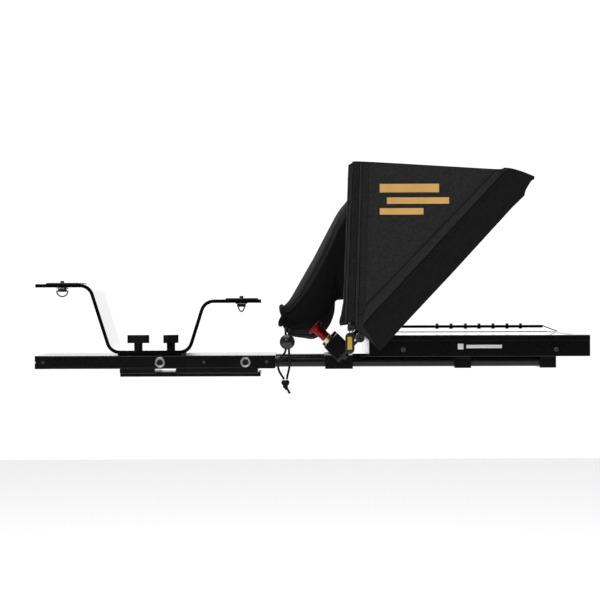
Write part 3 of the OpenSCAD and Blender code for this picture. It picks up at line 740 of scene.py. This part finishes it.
def clamp_bush():
    """Brass collars under the red knobs, and their square nuts below the legs."""
    collars, nuts = [], []
    for side in (-1, 1):
        foot = knob_foot(side)
        collars.append(lathe("collar", [(3.06, 27.05), (6.6, 27.05), (7, 27.4), (7, 33.5),
                                        (6.6, 33.9), (3.06, 33.9)], foot, OFF_GLASS, 48))
        nuts.append(lathe("nut", [(3.06, -7.2), (5.4, -7.2), (5.9, -6.8), (5.9, -3.7),
                                  (5.4, -3.3), (3.06, -3.3)], foot, OFF_GLASS, 6))
    settle(join("clamp_collars", collars), "hood_mount", "brass_bush", node="clamp_bushes")
    settle(join("clamp_nuts", nuts), "hood_mount", "brass_bush", EXTRA["black_nut_and_socket_shade"],
           node="clamp_bushes")


red_knob("red_knob_left", 1)
red_knob("red_knob_right", -1)
clamp_bush()


# ---------------------------------------------------------------- hood

REAR_EDGE = [(214, 76), (212.4, 80.2), (213.8, 88.6), (218.2, 113.8), (225.7, 299.3)]
TOP_EDGE = [(225.7, 299.3), (232, 303), (245, 304.6), (366.7, 297.4), (434.6, 293.4),
            (443, 295.4), (455, 294), (470, 289.4), (485.4, 283)]
FRONT_EDGE = [(268.6, 39.3), (289.4, 62.5), (302, 76.5), (374, 153), (454.7, 240.8),
              (471.5, 257), (473, 264), (478, 273), (485.4, 283)]
LEFT_REAR = [(223.5, 84), (226, 112), (229.9, 205), (233.8, 299.3)]
LEFT_LOWER = [(223.5, 84), (228, 77.6), (242, 65), (253, 55.5), (267, 42), (268.6, 39.3)]
LOWER_EDGE = [(214, 76), (228, 77.6), (242, 65), (253, 55.5), (267, 42), (268.6, 39.3)]
SEAM_OUT = [(244.5, 76.5), (440, 287)]
SEAM_IN = [(249, 103), (431.5, 291.4)]
HOOD_Y = 190.0                         # half of the hood's width inside its side panels
PANEL_Y = HOOD_Y + 3                   # outer faces of the side panels
PANEL_GRID = (74, 66)


def flat_points(line):
    return [Vector((x, 0, z)) for x, z in line]


def patch(left, top, right, bottom, rows, cols):
    """Coons patch between four edges, as rows from the bottom edge to the top one."""
    left, right = resample(flat_points(left), rows), resample(flat_points(right), rows)
    top, bottom = resample(flat_points(top), cols), resample(flat_points(bottom), cols)
    result = []
    for i in range(rows):
        v = i / (rows - 1)
        row = []
        for j in range(cols):
            u = j / (cols - 1)
            corners = ((1 - u) * (1 - v) * bottom[0] + u * (1 - v) * bottom[-1]
                       + (1 - u) * v * top[0] + u * v * top[-1])
            row.append((1 - u) * left[i] + u * right[i] + (1 - v) * bottom[j] + v * top[j]
                       - corners)
        result.append(row)
    return result


def ripple(x, z, seed, size):
    return noise.noise(Vector((x / size, z / size, seed)))


def panel_lift(x, z, side):
    """How far the side panel stands out, in mm: slack cloth with a few long creases."""
    slack = 0.9 * ripple(x, z, 3.1 * side, 75) + 0.45 * ripple(x, z, 9.7 * side, 28)
    crease = 0.8 * math.exp(-((z - 0.62 * (x - 250) - 118) / 9) ** 2)
    return slack + crease * ripple(x, z, 5.0, 90)


def side_panel(side, sign):
    node = "hood_side_" + side
    rear, top, lower = REAR_EDGE, TOP_EDGE, LOWER_EDGE
    if sign > 0:
        rear, top, lower = LEFT_REAR, [LEFT_REAR[-1], (236, 303.2), *TOP_EDGE[2:]], LEFT_LOWER
    rows = patch(rear, top, FRONT_EDGE, lower, *PANEL_GRID)
    verts = [at(p.x, sign * (PANEL_Y + panel_lift(p.x, p.z, sign)), p.z)
             for row in rows for p in row]
    faces = grid_faces(*PANEL_GRID)
    if sign > 0:
        faces = [f[::-1] for f in faces]
    panel = mesh_object(node + "_sewn", verts, faces)
    cut = area_of(panel)
    thicken(panel, 2.2)
    settle(panel, "glass_frame", "hood_weave", angle=60, node=node)
    return panel, cut


def ribbon(name, inner, outer, sign, height, material, slot="hood_weave", base=0.3, rows=90,
           cols=9, power=0.5, seed=1.0, wobble=0.3):
    """Sewn strip between two lines on a side panel, padded to height in the middle."""
    inner, outer = resample(flat_points(inner), rows), resample(flat_points(outer), rows)
    verts = []
    for a, b in zip(inner, outer):
        for j in range(cols):
            u = j / (cols - 1)
            p = a.lerp(b, u)
            rise = height * math.sin(math.pi * u) ** power
            rise += wobble * ripple(p.x, p.z, seed, 16) * math.sin(math.pi * u)
            y = PANEL_Y + panel_lift(p.x, p.z, sign) + base + rise
            verts.append(at(p.x, sign * y, p.z))
    faces = grid_faces(rows, cols)
    if sign < 0:
        faces = [f[::-1] for f in faces]
    strip = clean_side(mesh_object(name, verts, faces), sign)
    thicken(strip, height + base + 0.4)
    settle(strip, "glass_frame", slot, material, angle=50)
    return strip


def clean_side(obj, sign):
    """Turns a sheet so that its normals point out of that side of the hood."""
    if sum(p.normal.y for p in obj.data.polygons) * sign < 0:
        obj.data.flip_normals()
    return obj


def stitch_row(line, sign, lift, length=3.4, gap=2.0):
    """Thread stitches along a line on a side panel, as small spindles."""
    points = flat_points(line)
    total = sum((b - a).length for a, b in zip(points, points[1:]))
    count = max(2, int(total / (length + gap)))
    ends = resample(points, count * 2)
    verts, faces = [], []
    for a, b in zip(ends[0::2], ends[1::2]):
        way = (b - a).normalized()
        across = Vector((-way.z, 0, way.x)) * 0.42
        middle = (a + b) / 2
        y = PANEL_Y + panel_lift(middle.x, middle.z, sign) + lift
        first = len(verts)
        for p, out in ((a, 0), (middle + across, 0.05), (middle - across, 0.05), (b, 0),
                       (middle, 0.55), (middle, -0.4)):
            verts.append(at(p.x, sign * (y + out), p.z))
        for face in ((0, 1, 4), (1, 3, 4), (3, 2, 4), (2, 0, 4),
                     (1, 0, 5), (3, 1, 5), (2, 3, 5), (0, 2, 5)):
            faces.append(tuple(first + k for k in face))
    return clean(mesh_object("stitches", verts, faces))


def shifted(line, distance):
    """The line moved to its left by a distance, in mm."""
    points = flat_points(line)
    way = (points[-1] - points[0]).normalized()
    step = Vector((-way.z, 0, way.x)) * distance
    return [(p.x + step.x, p.z + step.z) for p in points]


BINDING = (REAR_EDGE[1:], [(x + 4.2, z) for x, z in REAR_EDGE[1:]])
BINDING_LEFT = (LEFT_REAR, [(x + 4.2, z) for x, z in LEFT_REAR])
PIPES = [((220.8, 79), (229.8, 300.5)), ((235.6, 74), (243.2, 303.0))]
ZIP_FOOT, ZIP_HEAD = (228.0, 80.0), (236.7, 301.5)
WEB_FOOT, WEB_HEAD = (243.5, 92.0), (249.8, 303.0)


def strip_of(foot, head, half):
    left = [(foot[0] - half, foot[1]), (head[0] - half, head[1])]
    right = [(foot[0] + half, foot[1]), (head[0] + half, head[1])]
    return left, right


def hood_sides():
    for side, sign in (("right", -1), ("left", 1)):
        panel, cut = side_panel(side, sign)
        trim = [
            ribbon("hood_band_" + side, SEAM_OUT + [(448, 295)], FRONT_EDGE, sign, 1.3,
                   EXTRA["band_weave"], base=0.5, power=0.35, seed=2.0, wobble=0.5),
            ribbon("hood_ridge_" + side, SEAM_IN, SEAM_OUT, sign, 1.9, MATERIALS["hood_weave"],
                   base=0.7, seed=4.0),
            ribbon("hood_binding_" + side, *(BINDING if sign < 0 else BINDING_LEFT), sign, 1.6,
                   EXTRA["piping"], seed=6.0, wobble=0.1),
            ribbon("hood_webbing_" + side, *strip_of(WEB_FOOT, WEB_HEAD, 4.9), sign, 0.9,
                   MATERIALS["zipper_tape"], power=0.2, seed=8.0, wobble=0.1),
        ]
        if sign < 0:
            # The raised piping strips are lighter than the panel: painted highlight.
            trim += [ribbon("hood_piping_strip", *strip_of(foot, head, 1.7), sign, 2.4,
                            EXTRA["ridge_highlight_weave"], base=0.5, seed=5.0, wobble=0.1)
                     for foot, head in PIPES]
            # Wider near-black strips under the piping strips: painted shade in the gaps.
            trim += [ribbon("hood_piping_gap_shade", *strip_of(foot, head, 3.1), sign, 0.4,
                            EXTRA["groove_shade"], base=0.4, power=0.2, seed=5.0, wobble=0.0)
                     for foot, head in PIPES]
        # Near-black strips along both seams: painted shade in the seam grooves.
        trim += [ribbon("hood_seam_groove_" + side, shifted(seam, -1.0), shifted(seam, 1.0), sign,
                        0.3, EXTRA["groove_shade"], base=lift, power=0.2, seed=3.0, wobble=0.0)
                 for seam, lift in ((SEAM_IN, 0.5), (SEAM_OUT, 1.1))]
        web_left, web_right = strip_of(WEB_FOOT, WEB_HEAD, 3.9)
        rows = [stitch_row(shifted(SEAM_IN, 3.0), sign, 0.5),
                stitch_row(shifted(SEAM_OUT, -3.5), sign, 1.9),
                stitch_row(shifted([FRONT_EDGE[0], FRONT_EDGE[4]], 4.0), sign, 1.5),
                stitch_row(web_left, sign, 1.35), stitch_row(web_right, sign, 1.35)]
        stitches = settle(join("hood_stitching_" + side, rows), "glass_frame", "hood_weave",
                          EXTRA["thread"])


def roof():
    """Top sheet: it hangs slack between the sides and droops over the frame's front."""
    rows, cols = 60, 60
    line = resample(flat_points([(234.2, 302.9), *TOP_EDGE[2:]]), rows)
    verts = []
    for i, p in enumerate(line):
        along = i / (rows - 1)
        for j in range(cols):
            v = -1 + 2 * j / (cols - 1)
            sag = 2.6 * (1 - v * v) * math.sin(math.pi * min(1, along * 1.15))
            crease = 0.8 * noise.noise(Vector((p.x / 60, v * 4, 2.5)))
            verts.append(at(p.x, v * HOOD_Y, p.z - sag - 0.4 + crease * (1 - v * v)))
    sheet = mesh_object("hood_roof_sewn", verts, grid_faces(rows, cols))
    if sum(p.normal.z for p in sheet.data.polygons) < 0:
        sheet.data.flip_normals()
    thicken(sheet, 2.2)
    settle(sheet, "glass_frame", "hood_weave", EXTRA["roof_weave"], angle=60, node="hood_top")


def back_panel():
    """Back sheet round the lens window."""
    half_y, half_z = 98.5, 73.3
    middle_z = 190.8
    outer_low, outer_high = 112.2, 301.8
    corners = ((-1, -1), (1, -1), (1, 1), (-1, 1))

    def rear_x(z):
        return 226 + 7.8 * (z - 112) / 187.3

    def loop(share, count=96):
        points = []
        for k in range(count):
            side, part = divmod(4 * k / count, 1)
            a, b = Vector(corners[int(side)]), Vector(corners[(int(side) + 1) % 4])
            c, s = a.lerp(b, part)
            edge_z = outer_high - middle_z if s > 0 else middle_z - outer_low
            p = Vector((half_y * c, half_z * s)).lerp(Vector((HOOD_Y * c, edge_z * s)), share)
            points.append((p.x, middle_z + p.y))
        return points

    rings, count = 22, 96
    verts = []
    for r in range(rings):
        share = r / (rings - 1)
        for y, z in loop(share, count):
            slack = 1.2 * noise.noise(Vector((y / 55, z / 40, 7.0))) * math.sin(math.pi * share)
            verts.append(at(rear_x(z) + 0.2 - slack, y, z))
    sheet = mesh_object("hood_back_sewn", verts, grid_faces(rings, count, closed=True))
    if sum(p.normal.x for p in sheet.data.polygons) > 0:
        sheet.data.flip_normals()
    thicken(sheet, 2.0)
    settle(sheet, "glass_frame", "hood_weave", EXTRA["back_weave"], angle=60, node="hood_back")


def piping():
    """Corded edges where the roof and back meet the sides, and the front hem."""
    cords = []
    for sign in (-1, 1):
        top = [at(x, sign * (HOOD_Y + 1.2), z - 0.6)
               for x, z in (TOP_EDGE if sign < 0 else [(235.5, 302.8), *TOP_EDGE[2:]])]
        rear = [at(x + 1.0, sign * (HOOD_Y + 1.2), z)
                for x, z in (REAR_EDGE if sign < 0 else LEFT_REAR)]
        cords.append(tube("pipe", resample(smooth_line(top, 6), 110), 1.7 * MM, 10))
        cords.append(tube("pipe", resample(smooth_line(rear, 6), 90), 1.7 * MM, 10))
    x, z = TOP_EDGE[-1]
    hem = [at(x - 1.5 - 1.2 * (1 - v * v), v * HOOD_Y, z - 1.6)
           for v in (j / 20 for j in range(-20, 21))]
    cords.append(tube("pipe", hem, 2.0 * MM, 12))
    pipes = join("hood_piping", cords)
    settle(pipes, "glass_frame", "hood_weave", EXTRA["piping"], angle=60)


hood_sides()
roof()
back_panel()
piping()


# ---------------------------------------------------------------- lens shroud

# Top point, bottom point (X, Z) and half width of the soft tunnel, from the hood to the mouth
SHROUD = [
    ((234.2, 268), (228.2, 113.5), 101), ((224, 254.5), (219, 112.8), 97.5),
    ((214, 242), (209.2, 110), 96.5), ((203, 222.5), (207.5, 93), 96),
    ((190, 198), (201, 75), 95.5), ((177, 173), (190, 62), 94),
    ((165, 152.5), (177, 54.5), 91), ((153, 131.5), (162, 56), 88),
    ((140.5, 110.5), (142, 60.5), 85), ((131, 101), (129.5, 77), 83)]


def between(rows, t):
    """Smooth blend of a table of (top, bottom, width) rows at t from 0 to 1."""
    flat = [Vector((*top, *bottom)) for top, bottom, _ in rows]
    wide = [w for _, _, w in rows]
    s = t * (len(rows) - 1)
    i = min(int(s), len(rows) - 2)
    f = s - i
    p = spline(flat[max(i - 1, 0)], flat[i], flat[i + 1], flat[min(i + 2, len(rows) - 1)], f)
    return p, wide[i] + (wide[i + 1] - wide[i]) * f


def shroud_ring(t, count):
    p, wide = between(SHROUD, t)
    middle = Vector(((p[0] + p[2]) / 2, 0, (p[1] + p[3]) / 2))
    half = Vector(((p[0] - p[2]) / 2, 0, (p[1] - p[3]) / 2))
    square = 0.16 + 0.34 * min(1, 5 * t) + 0.27 * t
    gather = max(0.0, (t - 0.55) / 0.45) ** 1.5
    ring = []
    for k in range(count):
        turn = 2 * math.pi * k / count
        c, s = math.cos(turn), math.sin(turn)
        up = math.copysign(abs(s) ** square, s)
        over = math.copysign(abs(c) ** square, c)
        fold = 2.6 * noise.noise(Vector((4.2 * c, 4.2 * s, 1.6 * t + 3)))
        fold *= math.sin(math.pi * t) ** 0.6
        fold += 1.6 * gather * math.cos(26 * turn + 2.5 * math.sin(3 * turn))
        pull = 4.2 * gather * (1 - abs(up)) ** 1.2
        place = middle + half * up + Vector((pull, wide * over, 0))
        outward = Vector((0, over, up)).normalized()
        ring.append((place + outward * fold) * MM)
    return ring


def lens_shroud():
    rows, count = 72, 156
    rings = [shroud_ring(i / (rows - 1), count) for i in range(rows)]
    verts = [p for ring in rings for p in ring]
    sheet = mesh_object("lens_shroud_gathered", verts, grid_faces(rows, count, closed=True))
    middle = sum(verts, Vector()) / len(verts)
    if sum(p.normal.dot(p.center - middle) for p in sheet.data.polygons) < 0:
        sheet.data.flip_normals()
    thicken(sheet, 1.4)
    settle(sheet, "glass_frame", "shroud_cloth", angle=70, node="lens_shroud")
    mouth = [p + Vector((-1.5 * MM, 0, 0)) for p in rings[-1]]
    hem = tube("shroud_hem", mouth, 3.4 * MM, 12, closed=True)
    settle(hem, "glass_frame", "shroud_cloth", angle=70)


lens_shroud()


# ---------------------------------------------------------------- zipper

PULL_PIN = (-200.2, 70.5)


def zipper():
    """Tape and two rows of coil teeth down the right side of the hood."""
    tape = ribbon("hood_zipper_tape", *strip_of(ZIP_FOOT, ZIP_HEAD, 4.8), -1, 0.5,
                  MATERIALS["zipper_tape"], slot="zipper_tape", power=0.2, seed=3.0, wobble=0.05)
    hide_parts("hood_zipper")
    foot = Vector((ZIP_FOOT[0], 0, ZIP_FOOT[1] + 2))
    head = Vector((ZIP_HEAD[0], 0, ZIP_HEAD[1] - 3))
    count = 110
    verts, faces = [], []
    for i in range(count):
        p = foot.lerp(head, i / (count - 1))
        sway = 1.0 if i % 2 else -1.0
        y = -(PANEL_Y + panel_lift(p.x, p.z, -1) + 0.9)
        first = len(verts)
        for half_x, dy, half_z in ((1.9, 0, 0.45), (1.2, -0.9, 0.3)):
            for dx, dz in ((-half_x, -half_z), (half_x, -half_z), (half_x, half_z),
                           (-half_x, half_z)):
                verts.append(at(p.x + dx + 0.55 * sway, y + dy, p.z + dz))
        for face in ((0, 1, 2, 3), (4, 7, 6, 5), (0, 4, 5, 1),
                     (1, 5, 6, 2), (2, 6, 7, 3), (3, 7, 4, 0)):
            faces.append(tuple(first + k for k in face))
    teeth = clean(mesh_object("zipper_coil", verts, faces))
    settle(teeth, "glass_frame", "zipper_tape", EXTRA["tooth_nylon"])


def zipper_slider():
    """Cast slider: tapered plate and the two ears that hold the pull."""
    shield = [(223.4, 68.2), (232.6, 68.2), (233.0, 74.0),
              (231.4, 80.8), (224.6, 80.8), (223.0, 74.0)]
    plate = bevelled(prism("plate", shield, (-194.6, -197.6)), 0.5)
    ears = [rounded_bar("ear", (x, x + 2.0), (-202, -197.2), (68.4, 73), 0.5)
            for x in (223.7, 230.3)]
    slider = join("zipper_slider_cast", [plate, *ears])
    settle(slider, "zip_slider", "zipper_metal", node="zipper_slider")


def stadium(name, x, half, y, z, radius):
    """Upright bar with round ends, facing along Y."""
    outline = []
    for k in range(33):
        turn = math.pi * k / 32
        outline.append((x + half * math.cos(turn), z[1] - half + half * math.sin(turn)))
    outline += [(2 * x - px, z[0] + z[1] - pz) for px, pz in outline]
    return bevelled(prism(name, outline, y), radius,
                    lambda e: abs(e.verts[0].co.y - e.verts[1].co.y) < 1e-7)


def zipper_pull():
    """Rubber tab on a wire link, with a yellow panel let into its face."""
    y, z = PULL_PIN
    link = tube("link", smooth_line([at(227.0, y, 65), at(226.2, y, 68), at(226.4, y, z),
                                     at(229.6, y, z), at(229.8, y, 68), at(229.0, y, 65)], 5),
                0.75 * MM, 10)
    pin = lathe("pin", [(0.3, 0), (0.9, 0.2), (0.9, 8.6), (0.3, 8.8)], (223.6, y, z), (1, 0, 0), 20)
    tab = stadium("tab", 226.5, 6.5, (y - 1.6, y + 1.4), (36.5, 66.2), 0.7)
    rim = stadium("rim", 226.5, 5.4, (y - 1.95, y - 1.2), (38.0, 64.4), 0.3)
    pull = join("zipper_pull_tab", [tab, rim, link, pin])
    settle(pull, "zip_pull", "zipper_metal", EXTRA["pull_rubber"], node="zipper_pull")
    inlay = rounded_bar("zipper_pull_inlay", (223.1, 229.5), (y - 2.35, y - 1.6), (42.6, 60.4), 0.3)
    settle(inlay, "zip_pull", "pull_yellow")


zipper()
zipper_slider()
zipper_pull()


# ---------------------------------------------------------------- monitor details and marks

def monitor_buttons():
    for i in range(1, 8):
        node = f"button_{i}"
        low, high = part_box(node)
        x, y = (low.x + high.x) / 2 / MM, (low.y + high.y) / 2 / MM
        profile = [(2.5, 65.9), (2.8, 66.1), (2.8, 67.2), (2.5, 67.4), (2.0, 67.45), (2.0, 72.8),
                   (2.5, 72.8), (2.8, 73.0), (2.8, 73.6), (2.4, 74.1), (1.4, 74.3), (0.1, 74.35)]
        cap = lathe(node + "_cap", profile, (x, y, 0), (0, 0, 1), 36)
        settle(cap, BODY_OF[node], "button_grey", node=node)


def screen_gasket():
    """Thin black gasket round the picture, inside the bezel's lip."""
    x0, x1, y0, y1, z = 273.6, 543.8, -168.9, 168.9, 61.3
    line = []
    corners = [(x0, y0), (x1, y0), (x1, y1), (x0, y1)]
    for (ax, ay), (bx, by) in zip(corners, corners[1:] + corners[:1]):
        line += [at(ax + (bx - ax) * k / 12, ay + (by - ay) * k / 12, z) for k in range(12)]
    gasket = tube("screen_gasket", line, 0.5 * MM, 8, closed=True)
    settle(gasket, "monitor", "case_plastic")


def printed_marks():
    """Generic marks: three script lines on the hood, and a plain dash on the monitor."""
    lines = [(269, 352, 262, 274), (279, 366, 246, 255), (269, 330, 231, 240)]
    for side, sign in (("right", -1), ("left", 1)):
        bars = []
        for x0, x1, z0, z1 in lines:
            rows = patch([(x0, z0), (x0, z1)], [(x0, z1), (x1, z1)], [(x1, z0), (x1, z1)],
                         [(x0, z0), (x1, z0)], 5, 40)
            verts = [at(p.x, sign * (PANEL_Y + 0.28 + panel_lift(p.x, p.z, sign)), p.z)
                     for row in rows for p in row]
            bar = clean_side(mesh_object("bar", verts, grid_faces(5, 40)), sign)
            bars.append(thicken(bar, 0.25))
        settle(join("hood_mark_" + side, bars), "glass_frame", "hood_weave", EXTRA["orange_print"])
    dash = join("monitor_mark", [
        rounded_bar("dash", (378, 386), (-186.3, -185.6), (42, 50), 0.2),
        rounded_bar("dash", (390, 440), (-186.3, -185.6), (43.6, 48.4), 0.2)])
    settle(dash, "monitor", "case_plastic", EXTRA["silver_print"])


monitor_buttons()
screen_gasket()
printed_marks()

# Every CAD node that still shows gets its procedural material
for node, obj in frame["nodes"].items():
    if not obj.material_slots:
        obj.data.materials.append(None)
    for entry in obj.material_slots:
        entry.material = MATERIALS[SLOT_OF[node]].mat
